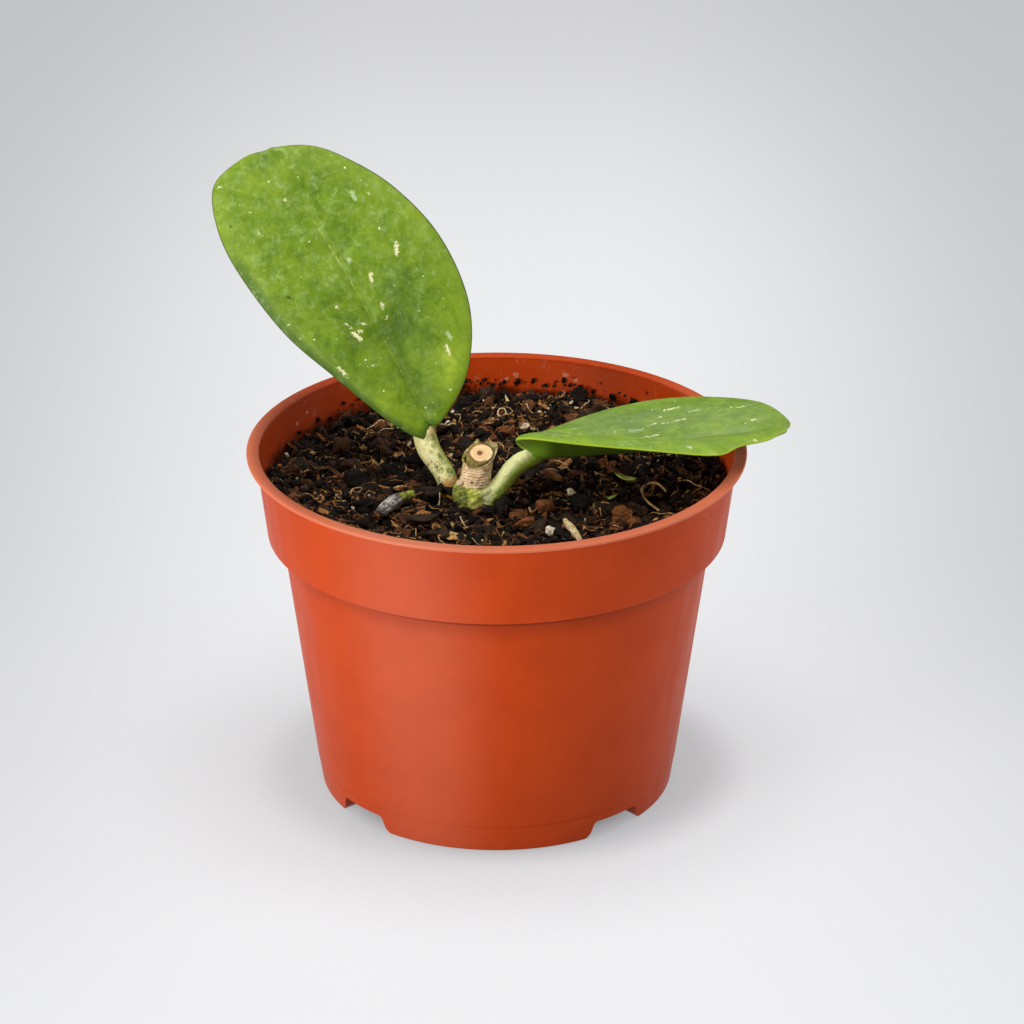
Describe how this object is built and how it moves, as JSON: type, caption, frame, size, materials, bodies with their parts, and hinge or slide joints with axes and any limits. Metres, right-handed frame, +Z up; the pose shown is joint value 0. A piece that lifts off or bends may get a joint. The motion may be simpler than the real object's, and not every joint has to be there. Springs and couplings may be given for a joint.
{
  "type": "potted hoya plant",
  "caption": "Rooted hoya cutting with thick oval leaves and a short cut stem, in a round thin-walled plastic nursery pot filled with chunky bark and coir mix.",
  "frame": {"origin": "on the pot's axis at the plane that its feet stand on", "axes": "+Z up along the pot's axis, -Y towards the side from which one leaf stands up at the left and the other lies out to the right, +X to the right from there"},
  "size_m": [0.1386, 0.12, 0.1527],
  "materials": {
    "pot_plastic": "satin terracotta-coloured moulded plastic",
    "soil_mix": "rough dark bark and coir",
    "stem_bark": "wrinkled dry bark over a pale cut",
    "petiole_flesh": "satin pale green skin",
    "leaf_flesh": "waxy satin green skin with cream flecks",
    "bark_dark": "rough",
    "bark_red": "rough and fibrous",
    "leaf_scrap": "dry and matte",
    "perlite": "matte and porous",
    "dead_wood": "rough and dry"
  },
  "bodies": {
    "root": {"pot": "pot_plastic", "soil": "soil_mix", "stem": "stem_bark", "petiole_left": "petiole_flesh", "petiole_right": "petiole_flesh", "leaf_left": "leaf_flesh", "leaf_right": "leaf_flesh", "bark_chip_dark": "bark_dark", "bark_chip_ridged": "bark_dark", "coir_chunk_far": "bark_red", "coir_chunk_near": "bark_red", "bark_chip_orange": "bark_red", "leaf_scrap_far": "leaf_scrap", "leaf_scrap_near": "leaf_scrap", "perlite_grain_right": "perlite", "perlite_grain_back": "perlite", "perlite_grain_front": "perlite", "twig_grey": "dead_wood", "wood_splinter": "dead_wood", "root_curl": "dead_wood"}
  },
  "joints": []
}
